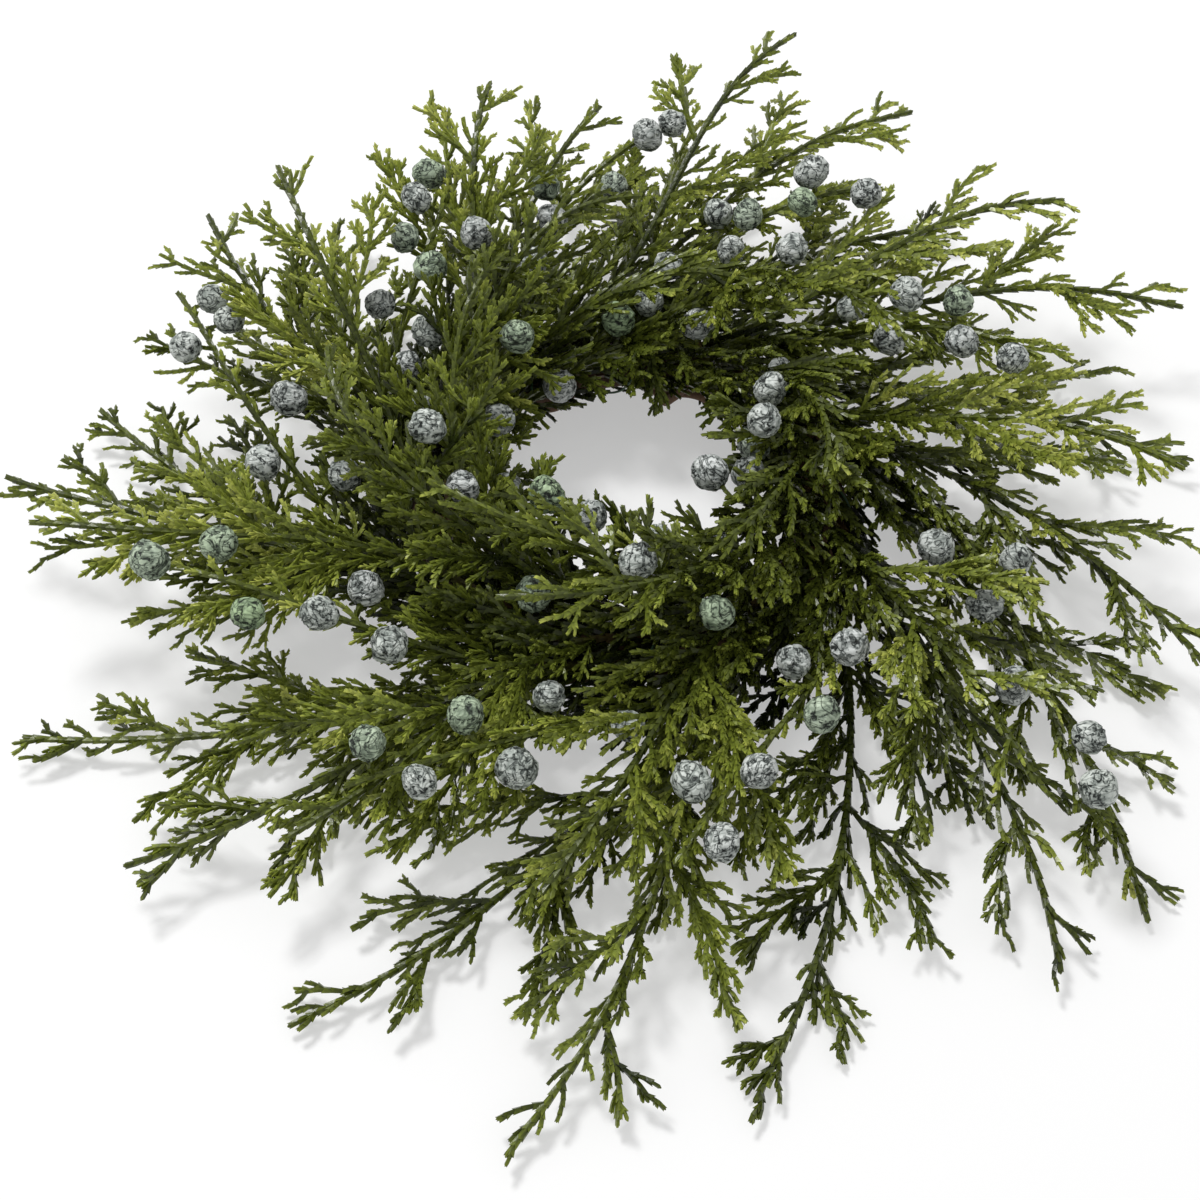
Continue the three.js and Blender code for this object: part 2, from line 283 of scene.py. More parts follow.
def math(tree, operation, first, second):
    """One sum on two inputs, each an output socket or a plain number."""
    node = tree.nodes.new("ShaderNodeMath")
    node.operation = operation
    for value, socket in zip((first, second), node.inputs):
        if isinstance(value, (int, float)):
            socket.default_value = value
        else:
            tree.links.new(value, socket)
    return node.outputs["Value"]


def times(tree, first, second):
    """One input times another."""
    return math(tree, "MULTIPLY", first, second)


def mix(tree, share, first, second, blend="MIX"):
    """Mixes two colours by a share. Each may be an output socket or a plain colour."""
    node = tree.nodes.new("ShaderNodeMix")
    node.data_type = "RGBA"
    node.blend_type = blend
    for value, socket in ((share, node.inputs[0]), (first, node.inputs[6]), (second, node.inputs[7])):
        if isinstance(value, (int, float)):
            socket.default_value = value
        elif isinstance(value, tuple):
            socket.default_value = (*value, 1)
        else:
            tree.links.new(value, socket)
    return node.outputs[2]


def bump(tree, shader, height, distance, strength=1.0):
    """Tilts the light on a surface as if `height` raised it by up to `distance` metres."""
    node = tree.nodes.new("ShaderNodeBump")
    node.inputs["Distance"].default_value = distance
    node.inputs["Strength"].default_value = strength
    tree.links.new(height, node.inputs["Height"])
    tree.links.new(node.outputs["Normal"], shader.inputs["Normal"])


# %% The leaves' material
# Greens from old to young leaves; the darkest stops also paint the shade deep inside the mound.
YOUTH_AND_SHADE_GREENS = [
    (0.0, (0.003, 0.005, 0.001)),
    (0.22, (0.018, 0.026, 0.003)),
    (0.48, (0.080, 0.102, 0.013)),
    (0.75, (0.195, 0.238, 0.034)),
    (1.0, (0.420, 0.460, 0.100)),
]
# Multipliers that paint light on the leaves' points and shade in their necks.
POINT_LIGHT_AND_NECK_SHADE = [(0.0, (0.40, 0.40, 0.35)), (0.55, (0.85, 0.85, 0.8)), (1.0, (1.35, 1.3, 1.1))]
WAX_SHADES = [(0.45, (0.8, 0.8, 0.8)), (0.75, (1.25, 1.25, 1.3))]
CUT_WOOD = (0.075, 0.040, 0.020)
BLOTCH_SHARE = 0.5


def leaf_material():
    """Old leaves are dark olive and young ones lime, and the ramp's near-black end is painted shade deep in
    the mound. A leaf is painted paler at its point as painted light, and darker at its neck as painted shade.
    The stem is brown where it is cut. Blotches make some leaves older or younger than their twig, by as much
    each way."""
    material, tree, shader = new_material("juniper_leaves", 0.27, Specular_IOR_Level=0.26)
    blotch = noise(tree, 9 * MM, detail=4)
    speckle = noise(tree, 0.9 * MM, detail=2)
    youth_and_shade = math(tree, "ADD", mark_value(tree, "youth_and_shade"), times(tree, blotch, BLOTCH_SHARE))
    youth_and_shade = math(tree, "SUBTRACT", youth_and_shade, BLOTCH_SHARE / 2)
    # The youth mark here holds painted light and shade by place as well as the leaves' age.
    colour = ramp(tree, youth_and_shade, YOUTH_AND_SHADE_GREENS)
    # Painted light on the leaves' points and painted shade in their necks.
    shade = ramp(tree, mark_value(tree, "point_light_and_neck_shade"), POINT_LIGHT_AND_NECK_SHADE)
    colour = mix(tree, 1.0, colour, shade, "MULTIPLY")
    colour = mix(tree, 1.0, colour, ramp(tree, speckle, WAX_SHADES), "MULTIPLY")
    colour = mix(tree, mark_value(tree, "wood"), colour, CUT_WOOD)
    tree.links.new(colour, shader.inputs["Base Color"])
    bump(tree, shader, speckle, 0.12 * MM, 0.6)
    return material


# %% The bark's and the wire's materials
DARK_SPLIT = (0.012, 0.008, 0.006)
ENAMEL_GREENS = [(0.3, (0.012, 0.045, 0.018)), (0.75, (0.05, 0.11, 0.05))]


def bark_material(name, dark, pale):
    """Stringy bark: long fibres of two browns that follow the vine, with dark splits between them."""
    material, tree, shader = new_material(name, 0.85)
    blotch = noise(tree, 7 * MM, detail=5, distortion=0.4)
    fleck = noise(tree, 0.8 * MM, detail=3)
    fibres = times(tree, mark_value(tree, "fibre"), 0.6)
    value = math(tree, "ADD", fibres, times(tree, blotch, 0.5))
    browns = ramp(tree, value, [(0.15, DARK_SPLIT), (0.42, dark), (0.8, pale)])
    flecks = ramp(tree, fleck, [(0.4, dark), (0.65, pale)])
    tree.links.new(mix(tree, 0.35, browns, flecks), shader.inputs["Base Color"])
    bump(tree, shader, fleck, 0.25 * MM, 0.7)
    return material


def wire_material():
    """Florist's wire: green enamel, rubbed thin in places."""
    material, tree, shader = new_material("florist_wire", 0.35, Metallic=0.3)
    rubbed = noise(tree, 2.5 * MM)
    tree.links.new(ramp(tree, rubbed, ENAMEL_GREENS), shader.inputs["Base Color"])
    return material


# %% The berries' material
BLOOM_GREYS = [
    (0.04, (0.010, 0.013, 0.012)),
    (0.26, (0.086, 0.099, 0.093)),
    (0.54, (0.290, 0.316, 0.302)),
    (0.92, (0.630, 0.655, 0.640)),
]
UNRIPE_TINT = (0.56, 0.74, 0.40)


def thin_lines(tree, size, thickness, **noise_settings):
    """Thin winding lines: 0 on the line where smooth noise is near its middle value, and 1 away from it."""
    wave = noise(tree, size, **noise_settings)
    away = math(tree, "ABSOLUTE", math(tree, "SUBTRACT", wave, 0.5), 0.0)
    return math(tree, "MINIMUM", math(tree, "DIVIDE", away, thickness), 1.0)


def berry_material():
    """A dark slate skin under a pale waxy bloom. The bloom is cracked along thin lines, rubbed off in small
    flecks, and worn at the seams."""
    material, tree, shader = new_material("juniper_berries", 0.5, Specular_IOR_Level=0.35)
    cracks = thin_lines(tree, 6.0 * MM, 0.035, detail=3, distortion=1.3, stretch=(1.0, 0.5, 1.3))
    scratches = thin_lines(tree, 3.0 * MM, 0.06, detail=2, distortion=0.8, stretch=(0.4, 1.2, 1.0))
    flecks = noise(tree, 1.6 * MM, detail=4, distortion=0.8)
    dust = noise(tree, 4.0 * MM, detail=6)
    kept = ramp(tree, flecks, [(0.36, (0, 0, 0)), (0.45, (1, 1, 1))])
    skin = times(tree, times(tree, cracks, kept), 0.65)
    skin = math(tree, "ADD", skin, times(tree, scratches, 0.35))
    skin = math(tree, "SUBTRACT", skin, times(tree, mark_value(tree, "seam"), 0.40))
    thickness = math(tree, "ADD", times(tree, dust, 1.6), 0.1)
    skin = times(tree, skin, thickness)
    colour = ramp(tree, skin, BLOOM_GREYS)
    green = mix(tree, 1.0, colour, UNRIPE_TINT, "MULTIPLY")
    colour = mix(tree, mark_value(tree, "unripe"), colour, green)
    tree.links.new(colour, shader.inputs["Base Color"])
    bump(tree, shader, skin, 0.6 * MM, 1.0)
    return material


# %% Make the materials
LEAVES = leaf_material()
BARKS = {
    "dark_bark": bark_material("dark_vine_bark", (0.042, 0.020, 0.010), (0.120, 0.062, 0.032)),
    "pale_bark": bark_material("pale_vine_bark", (0.064, 0.031, 0.015), (0.190, 0.105, 0.055)),
}
WIRE = wire_material()
BERRIES = berry_material()
print("materials:", [material.name for material in bpy.data.materials])

# %% [markdown]
# ## Vines and wire
#
# The four thick vines lie side by side and turn slowly about each other. The thin one goes round them all
# once a bunch, and so does the wire that ties the bunches on. Each is a line that winds over the ring's
# section a fixed number of times per turn. So for every corner of its solid, angle over the section minus
# that number times the turn is about the same, and the mean of it fixes the whole path.

# %% Read a winding
COIL_WINDINGS, COIL_ROWS = 2, 320
WRAP_WINDINGS, WRAP_ROWS = 9, 640


def winding(name, windings, rows):
    """The path (rows, 3) of a wound piece and the way out of the ring at each of its points.
    Its two ends lie either side of the widest gap between its corners' turns. Its distance from the ring's
    line at an angle is a mean over all corners, weighted by exp(8 × (cos(difference of angles) - 1))."""
    turn, over, offset = around_ring(solid(name)[0])
    phase = np.angle(np.mean(np.exp(1j * (over - windings * turn))))
    in_order = np.sort(turn)
    gaps = np.diff(in_order, append=in_order[0] + 2 * np.pi)
    widest = gaps.argmax()
    turns = np.linspace(0, 2 * np.pi - gaps[widest], rows) + in_order[(widest + 1) % len(in_order)]
    overs = phase + windings * turns
    nearness = np.exp(8 * (np.cos(overs[:, None] - over[None]) - 1))
    offsets = (nearness * offset).sum(axis=1) / nearness.sum(axis=1)
    path = on_ring(turns, overs, offsets)
    return path, unit(path - on_ring(turns, overs, offsets * 0))


# %% A vine with fibres and knots
VINE_SIDES = 16
FIBRE_HEIGHT, SWELLING_HEIGHT, KNOT_HEIGHT = 0.16, 0.10, 0.28
KNOT_LENGTH = 3.5


def waves(rng, rows, sides, count, along, across):
    """A rough surface on a grid: the mean of `count` sine waves. Each has a random number of waves down the
    rows, in the range `along`, and a whole number round the ring, in the range `across`."""
    row = np.linspace(0, 1, rows)[:, None]
    side = np.arange(sides)[None] / sides
    total = np.zeros((rows, sides))
    for _ in range(count):
        length = rng.uniform(*along)
        width = rng.integers(*across)
        total += np.sin(2 * np.pi * (length * row + width * side + rng.uniform()))
    return total / count


def vine(name, path, outward, radius, seed, material, knots):
    """A vine: a tube whose radius has fibres along it, a slow swelling, and a few knots. Their heights are
    shares of the radius. A knot is exp(-(rows away / KNOT_LENGTH)²), higher on one side. The underside is
    flat where the vine lies on the table."""
    rng = np.random.default_rng(seed)
    rows, sides = len(path), VINE_SIDES
    share = np.linspace(0, 1, rows)
    fibre = waves(rng, rows, sides, 9, (2, 14), (3, 8))
    swelling = waves(rng, rows, sides, 5, (5, 24), (0, 2))
    radii = radius * (1 + FIBRE_HEIGHT * fibre + SWELLING_HEIGHT * swelling)
    for place in rng.uniform(0.04, 0.96, knots):
        hump = np.exp(-(((share - place) * rows / KNOT_LENGTH) ** 2))[:, None]
        one_sided = 1 + 0.7 * np.cos(2 * np.pi * np.arange(sides) / sides - 7 * place)
        radii += radius * KNOT_HEIGHT * hump * one_sided
    grid = tube_grid(path[None], outward[None], radii[None])
    grid[..., 2] = np.maximum(grid[..., 2], 0)
    piece = new_piece(name, [(grid, 0.5 + 0.5 * fibre)], material, ["fibre"], smooth=True)
    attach(piece, "root")
    return piece


# %% Make the vines and the wire
for number, name in enumerate(coil_names):
    path, outward = winding(name, COIL_WINDINGS, COIL_ROWS)
    bark = "pale_bark" if number % 2 else "dark_bark"
    piece = vine(f"bark_{name}", path, outward, 2.6 * MM, 11 + number, BARKS[bark], 14)
    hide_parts(name)

path, outward = winding("wrap_vine", WRAP_WINDINGS, WRAP_ROWS)
piece = vine("bark_wrap_vine", path, outward, 1.55 * MM, 5, BARKS["pale_bark"], 30)
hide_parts("wrap_vine")

path, outward = winding("binding_wire", WRAP_WINDINGS, WRAP_ROWS)
wire_radii = np.full((1, len(path), 6), 0.4 * MM)
wire = new_piece("florist_wire", [(tube_grid(path[None], outward[None], wire_radii),)], WIRE, smooth=True)
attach(wire, "root")
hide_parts("binding_wire")
print("vines:", len(coil_names) + 1, "and one wire, from paths of", COIL_ROWS, "and", WRAP_ROWS, "points")

# %% [markdown]
# ## Stems and berries from the solids
#
# A spray's solid is a stem with tapered shoots, so nearly all of its corners are on or close to the stem.
# Their distance from the cut end puts them in order, and a smooth curve through them is the stem's line.
# A shoot ends in a small triangle. All its edges have one known length, which picks it out. Its middle is
# the shoot's tip, and a line square to it leads back to the root. Long leafy shoots are grown there later.
# A berry is a twenty-sided ball. Its edges have one length too, its radius divided by the sine of 72 degrees,
# and the point at the same distance from all its corners is its middle.

# %% Small shapes in a solid
SHOOT_END_RADIUS = 0.7 * MM
SHOOT_CAP_EDGE = SHOOT_END_RADIUS * np.sqrt(3)
BERRY_RADIUS = 5.2 * MM
BERRY_EDGE = BERRY_RADIUS / np.sin(np.radians(72))
EDGE_TOLERANCE = 0.02 * MM


def corners_on_edges(corners, triangles, length):
    """Pairs of corners whose edge has this length, or as good as."""
    edges = edges_of(triangles)
    lengths = np.linalg.norm(corners[edges[:, 0]] - corners[edges[:, 1]], axis=1)
    return edges[np.abs(lengths - length) < EDGE_TOLERANCE]


# %% A stem's line
STEM_POINTS = 64
TIED_OFFSET = 9.6 * MM
CUT_END_TURN = 0.02
STEM_MISS = 1.5 * MM


def stem_line(corners, skip):
    """A smooth line through a solid's corners, from the cut end by the ring outwards: each of x, y and z is a
    curve of the sixth degree in the distance from the cut end. It is fitted six times, and each time a corner
    counts by 1 / (1 + (its miss / STEM_MISS)²), so the shoots' corners come to count for little."""
    kept = np.delete(corners, skip, axis=0)
    turn, _, offset = around_ring(kept)
    near_ring = offset < TIED_OFFSET
    mean_turn = np.angle(np.mean(np.exp(1j * turn[near_ring])))
    ahead = np.where(near_ring, np.angle(np.exp(1j * (turn - mean_turn))), -9)
    start = kept[ahead > ahead.max() - CUT_END_TURN].mean(axis=0)
    distance = np.linalg.norm(kept - start, axis=1)
    scale = distance / distance.max()
    powers = np.vander(scale, 7)
    weights = np.ones(len(kept))
    for _ in range(6):
        curve = np.linalg.lstsq(powers * weights[:, None], kept * weights[:, None], rcond=None)[0]
        misses = np.linalg.norm(powers @ curve - kept, axis=1)
        weights = 1 / (1 + (misses / STEM_MISS) ** 2)
    return even_line(np.vander(np.linspace(0, 1, 200), 7) @ curve, STEM_POINTS)


# %% Berries' middles and shoots' ends
LEAST_SHOOT = 8 * MM
NEAR_STEM = 3 * MM


def groups_on_edges(corners, triangles, length):
    """Groups of corners, each as corner numbers, that are joined to one another by edges of this length."""
    edges = corners_on_edges(corners, triangles, length)
    group = np.arange(len(corners))
    for _ in range(40):
        lowest = np.minimum(group[edges[:, 0]], group[edges[:, 1]])
        np.minimum.at(group, edges[:, 0], lowest)
        np.minimum.at(group, edges[:, 1], lowest)
    return [np.unique(edges[group[edges[:, 0]] == label]) for label in np.unique(group[edges])]


def berry_middles(corners, triangles):
    """The middle of each ball. The middle m of a group solves 2 p·m + c = p·p for all its corners p."""
    middles = []
    for group in groups_on_edges(corners, triangles, BERRY_EDGE):
        if len(group) < 6:
            continue
        ball = corners[group]
        knowns = np.column_stack([2 * ball, np.ones(len(ball))])
        middles.append(np.linalg.lstsq(knowns, (ball**2).sum(axis=1), rcond=None)[0][:3])
    return np.array(middles)


def shoot_ends(corners, triangles, stem):
    """Each shoot's root, as a number of a stem point, and its tip. The tip is the middle of its small end,
    and the root is where the line square to that end passes the stem."""
    roots, tips = [], []
    for group in groups_on_edges(corners, triangles, SHOOT_CAP_EDGE):
        if len(group) != 3:
            continue
        first, second, third = corners[group]
        tip = (first + second + third) / 3
        way = unit(np.cross(second - first, third - first))
        back = (tip - stem) @ way
        misses = np.linalg.norm(tip - stem - back[:, None] * way, axis=1)
        misses[np.abs(back) < LEAST_SHOOT] = 1.0
        if misses.min() < NEAR_STEM:
            roots.append(misses.argmin())
            tips.append(tip)
    return np.array(roots, int), np.array(tips).reshape(-1, 3)


# %% Read every spray and twig
spray_names = [name for name in node_names if name.startswith("spray")]
twig_names = [name for name in node_names if name.startswith("berry_twig")]
stems, berries, shoots_of = {}, {}, {}
for name in spray_names + twig_names:
    corners, triangles = solid(name)
    caps = corners_on_edges(corners, triangles, SHOOT_CAP_EDGE)
    balls = corners_on_edges(corners, triangles, BERRY_EDGE)
    stems[name] = stem_line(corners, np.unique(np.concatenate([caps, balls])))
    shoots_of[name] = shoot_ends(corners, triangles, stems[name])
    if name in twig_names:
        berries[name] = berry_middles(corners, triangles)
all_berries = np.concatenate(list(berries.values()))
shoot_count = sum(len(roots) for roots, _ in shoots_of.values())
print(len(stems), "stems with", shoot_count, "shoots and", len(all_berries), "berries")

# %% [markdown]
# ## How juniper grows
#
# A spray is a stem with side branches left and right in turn, on those the same again, and once more on the
# twigs. So one function grows all of them: it takes a set of lines and gives their children. Every line is
# kept as seven points, a whole generation is one array, and nothing is worked out twig by twig. The longest
# side shoots aren't grown but follow the CAD model's.

# %% Lines and their children
LINE_POINTS = 7
ANGLE_SPREAD = 7


def along(lines, owner, share):
    """The place and the way of line number `owner` at a share of its length: a step between two of its
    evenly spaced points."""
    steps = lines.shape[1] - 1
    place = np.clip(share, 0, 1) * steps
    cell = np.minimum(place.astype(int), steps - 1)
    start, end = lines[owner, cell], lines[owner, cell + 1]
    return start + (end - start) * (place - cell)[:, None], unit(end - start)


def grow(rng, parents, spacing, first, angle, spread, curl, length_of):
    """Children of a set of lines. The first leaves at `first` and the rest `spacing` apart, in turn to both
    sides, `angle` degrees from their parent's way and tipped out of its flat side by about `spread` degrees.
    They curl forward and droop: a point at share u is
    root + length × (u × way + curl × u² × (parent's way - way) + droop × u² × down)."""
    count = np.maximum(0, ((parents["length"] - first) / spacing).astype(int))
    owner = np.repeat(np.arange(len(count)), count)
    number = np.arange(len(owner)) - np.repeat(np.cumsum(count) - count, count)
    distance = first + (number + rng.uniform(0.2, 0.8, len(owner))) * spacing
    share = distance / parents["length"][owner]
    root, ahead = along(parents["line"], owner, share)
    flat = unit(parents["flat"][owner] - ahead * (parents["flat"][owner] * ahead).sum(axis=1, keepdims=True))
    side = np.where((number + parents["start_side"][owner]) % 2, 1.0, -1.0)[:, None]
    across = np.cross(flat, ahead) * side
    tilt = np.radians(rng.normal(0, spread, len(owner)))[:, None]
    off = np.radians(rng.normal(angle, ANGLE_SPREAD, len(owner)))[:, None]
    way = np.cos(off) * ahead + np.sin(off) * (np.cos(tilt) * across + np.sin(tilt) * flat)
    length = length_of(share, parents["length"][owner]) * rng.uniform(0.6, 1.3, len(owner))
    u = np.linspace(0, 1, LINE_POINTS)[None, :, None]
    bend = curl * (ahead - way)[:, None] * u**2
    droop = np.array([0, 0, -1.0]) * u**2 * parents["droop"][owner, None, None]
    line = root[:, None] + length[:, None, None] * (u * way[:, None] + bend + droop)
    return {
        "line": line,
        "length": length,
        "flat": unit(np.cross(way, across)) * side * -1,
        "start_side": rng.integers(0, 2, len(owner)),
        "droop": parents["droop"][owner],
        "share": share,
        "owner": owner,
    }


def chosen(lines, keep):
    """Only the lines that `keep` marks as true."""
    return {fact: values[keep] for fact, values in lines.items()}


# %% Room for foliage
OPEN_RADIUS = 24.5 * MM
BERRY_ROOM = 5.9 * MM
BEYOND_BOX = np.array([15.4, 15.8, 9.0]) * MM
LEAST_LEFT = 0.3
LAYING_SOFTNESS = 1.5 * MM
room_low, room_high = (np.array(corner) for corner in cad_box)
print("room kept free in mm, by the open middle and a berry:", OPEN_RADIUS / MM, BERRY_ROOM / MM)


def within_room(lines):
    """Lines cut back to the part that keeps out of the open middle and of every berry, and inside the CAD box
    or close by. A line of which less than LEAST_LEFT would be left is dropped."""
    points = lines["line"]
    from_axis = np.hypot(*np.moveaxis(points[..., :2] - ring_middle[:2], -1, 0))
    ok = from_axis > OPEN_RADIUS
    ok &= ((points > room_low - BEYOND_BOX) & (points < room_high + BEYOND_BOX))[..., :2].all(axis=-1)
    ok &= points[..., 2] < (room_high + BEYOND_BOX)[2]
    for middle in all_berries:
        ok &= np.linalg.norm(points - middle, axis=-1) > BERRY_ROOM
    ok[:, :2] = True
    steps = points.shape[1] - 1
    clear = np.where(ok.all(axis=1), steps, (~ok).argmax(axis=1) - 1) / steps
    owner = np.repeat(np.arange(len(points)), LINE_POINTS)
    shares = (clear[:, None] * np.linspace(0, 1, LINE_POINTS)).reshape(-1)
    lines["line"] = along(points, owner, shares)[0].reshape(-1, LINE_POINTS, 3)
    lines["length"] = lines["length"] * clear
    return chosen(lines, clear > LEAST_LEFT)


def laid_on_table(lines, clearance):
    """Lines that would dip into the table lie on it: height z becomes the smooth larger of z and the
    clearance c, (z + c + √((z - c)² + softness²)) / 2."""
    height = lines["line"][..., 2]
    smooth = np.sqrt((height - clearance) ** 2 + LAYING_SOFTNESS**2)
    lines["line"][..., 2] = (height + clearance + smooth) / 2
    return lines


# %% [markdown]
# ## Scale leaves
#
# Juniper's leaves are scales pressed to the twig in pairs, and each pair is turned a quarter from the last.
# Only their points stand out. So a twig is a tube with two rings of points for each pair: at the first, the
# two leaves of the pair reach their points, which stand out and forward, and just behind them the second
# ring is narrow, where the next leaves come out. That needs eight faces a pair and gives the barbed edge.

# %% Leafy twigs
FLANK, NECK, OTHER_NECK = 0.95, 0.76, 0.98
CUT_END, BUD, BUD_TIP = 0.80, 0.62, 0.16
NECK_BEHIND = 0.18
POINT_FORWARD = 0.42
YOUNGER_AT_END = 0.18


def leafy_grids(lines, sides, pair_length, radius, flare, youth_and_shade, wood=None):
    """Grids of leafy tubes, one for each number of leaf pairs, with their marks. Along one side the radius is
    a saw, as a share of the twig's own: over two pairs it grows from NECK by way of FLANK to 1 + flare, and
    drops back. The sides of a pair are half a saw out of step with those of the next. A point also leans
    forward by POINT_FORWARD of a pair, and the twig ends in a bud."""
    pairs = np.maximum(2, np.round(lines["length"] / pair_length).astype(int))
    side = np.arange(sides)
    for count in np.unique(pairs):
        here = np.nonzero(pairs == count)[0]
        pair = np.arange(count)
        step = 1 / (count + 0.5)
        own = (side[None] + pair[:, None]) % 2 == 0
        out = 1 + flare[here, None, None]
        points = np.where(own, out, FLANK)
        necks = np.where(own, NECK, OTHER_NECK) * np.ones_like(out)
        # Point marks: 1 at a leaf's point and 0 in the neck behind it, used to paint light on points and
        # shade in necks.
        marks = np.stack([np.where(own, 1.0, 0.55), np.where(own, 0.0, 0.6)], axis=1)
        ends = np.ones((len(here), 1, sides))
        saw = np.stack([points, necks], axis=2).reshape(len(here), -1, sides)
        saw[:, -2:] = 0.35 * saw[:, -2:] + 0.5
        saw = np.concatenate([ends * CUT_END, saw, ends * BUD, ends * BUD_TIP], axis=1)
        mark = np.concatenate([ends[:1] * 0.3, marks.reshape(1, -1, sides), ends[:1] * 0.9, ends[:1]], axis=1)
        places = np.stack([(pair + 1) * step, (pair + (1 + NECK_BEHIND)) * step], axis=1).reshape(-1)
        places = np.concatenate([[0], places, [1 - 0.22 * step, 1.0]])
        rows = len(places)
        owner = np.repeat(here, rows)
        centres, ways = along(lines["line"], owner, np.tile(places, len(here)))
        centres = centres.reshape(len(here), rows, 3)
        ways = ways.reshape(len(here), rows, 3)
        thickness = radius[0][here, None] + (radius[1] - radius[0])[here, None] * places[None]
        grid = tube_grid(centres, lines["flat"][here], thickness[..., None] * saw)
        forward = np.zeros((rows, sides))
        forward[1:-2:2] = np.where(own, POINT_FORWARD * pair_length, 0)
        grid += forward[None, :, :, None] * ways[:, :, None]
        youth_and_shade_here = youth_and_shade[here, None, None] + YOUNGER_AT_END * places[None, :, None]
        woody = np.zeros((1, rows, 1)) if wood is None else wood(places)[None, :, None]
        yield grid, youth_and_shade_here, mark, woody


def smooth_step(value, low, high):
    """0 up to `low`, 1 from `high`, and a smooth rise between."""
    share = np.clip((value - low) / (high - low), 0, 1)
    return share * share * (3 - 2 * share)


def same(value, lines):
    """One value for each line."""
    return np.full(len(lines["length"]), float(value))


# %% [markdown]
# ## A spray
#
# A spray has five generations: the stem, its long shoots (the leaders), the branches on both, the twigs on
# those, and the twigs' own tips. Each is shorter, thinner and younger than the one before. A spray is full
# near the ring and thins out towards its tip. Light and shade are painted into its green: what lies high up
# or far out is painted paler as painted light, and what hangs inside the mound is painted dark as shade.

# %% The long shoots
def leader_lines(stem, flat, droop, roots, tips):
    """The long side shoots of a spray, from stem point to just past the CAD shoot's tip. Each bows outwards a
    little: a point at share u is root + u × reach + bow × sin(πu) × the way straight off the stem."""
    root = stem[roots]
    reach = 1.05 * (tips - root)
    length = np.linalg.norm(reach, axis=1)
    ahead = unit(np.gradient(stem, axis=0))[roots]
    off = unit(reach - ahead * (reach * ahead).sum(axis=1, keepdims=True))
    u = np.linspace(0, 1, LINE_POINTS)[None, :, None]
    bow = 0.06 * length[:, None, None] * np.sin(np.pi * u) * off[:, None]
    line = root[:, None] + u * reach[:, None] + bow
    flats = np.broadcast_to(flat, reach.shape)
    way = unit(reach)
    return {
        "line": line,
        "length": length,
        "flat": unit(flats - way * (flats * way).sum(axis=1, keepdims=True)),
        "start_side": np.arange(len(length)) % 2,
        "droop": np.full(len(length), droop),
        "share": roots / (len(stem) - 1),
        "owner": np.zeros(len(length), int),
    }


def joined(*sets):
    """Several sets of lines as one."""
    return {fact: np.concatenate([lines[fact] for lines in sets]) for fact in sets[0]}


def thinned(rng, lines, most):
    """Some lines left out at random: none near the ring, and a share `most` of them at the spray's tip."""
    return chosen(lines, rng.random(len(lines["share"])) > most * lines["share"] ** 1.5)


def painted_light_and_shade(lines):
    """Painted light and shade by a twig's place: paler high up and far out from the ring, darker low down and
    further in, as painted shade inside the mound.
    """
    place = lines["line"][:, LINE_POINTS // 2]
    out = np.hypot(*(place - ring_middle)[:, :2].T)
    high_up = smooth_step(place[:, 2], 4 * MM, 52 * MM)
    far_out = smooth_step(out, 60 * MM, 118 * MM)
    return 0.28 * high_up + 0.29 * far_out - 0.11


# %% Habits of each generation
def length_rule(part, taper, least, most=np.inf):
    """A child's length: part × its parent's, which counts up to `most`, × (taper - share) + least."""
    return lambda share, whole: part * np.minimum(whole, most) * (taper - share) + least


TIED_LENGTH = 28 * MM
BRANCH_HABIT = {"spacing": 5.2 * MM, "first": 0.15 * TIED_LENGTH, "angle": 40, "spread": 32, "curl": 0.42}
OFF_LEADER_HABIT = {"spacing": 5.8 * MM, "first": 4 * MM, "angle": 37, "spread": 26, "curl": 0.38}
TWIG_HABIT = {"spacing": 3.5 * MM, "first": 2.8 * MM, "angle": 37, "spread": 20, "curl": 0.35}
TIP_HABIT = {"spacing": 2.9 * MM, "first": 2.2 * MM, "angle": 36, "spread": 20, "curl": 0.30}
OFF_LEADER_LENGTH = length_rule(0.40, 1.05, 5.0 * MM)
TWIG_LENGTH = length_rule(0.26, 1.1, 4.6 * MM, most=34 * MM)
TIP_LENGTH = length_rule(0.25, 1.1, 2.4 * MM)
MISSING_AT_TIP = {"branch": 0.20, "twig": 0.60, "tip": 0.90}
CLEAR_OF_TABLE = {"leader": 1.5 * MM, "branch": 1.4 * MM, "twig": 1.3 * MM, "tip": 1.2 * MM}
STEM_PAIR_LENGTH = 2.6 * MM
# The length of a pair of leaves, then the twig's radius at its root and at its end.
SKINS = {
    "leader": (2.50 * MM, 1.02 * MM, 0.78 * MM),
    "branch": (2.40 * MM, 0.88 * MM, 0.74 * MM),
    "twig": (2.15 * MM, 0.66 * MM, 0.68 * MM),
    "tip": (1.95 * MM, 0.54 * MM, 0.58 * MM),
    "stalk": (1.30 * MM, 0.75 * MM, 0.95 * MM),
}
print("length of a pair of leaves in mm:", {kind: round(sizes[0] / MM, 2) for kind, sizes in SKINS.items()})


# %% Grow a spray
def fitted(lines, kind):
    """Lines cut back to where there is room, and laid on the table where they would dip into it."""
    return laid_on_table(within_room(lines), CLEAR_OF_TABLE[kind])


def clad(lines, kind, flare, youth_and_shade):
    """Four-sided leafy tubes on these lines, as thick as their kind is."""
    pair_length, at_root, at_end = SKINS[kind]
    return leafy_grids(lines, 4, pair_length, (same(at_root, lines), same(at_end, lines)), flare, youth_and_shade)


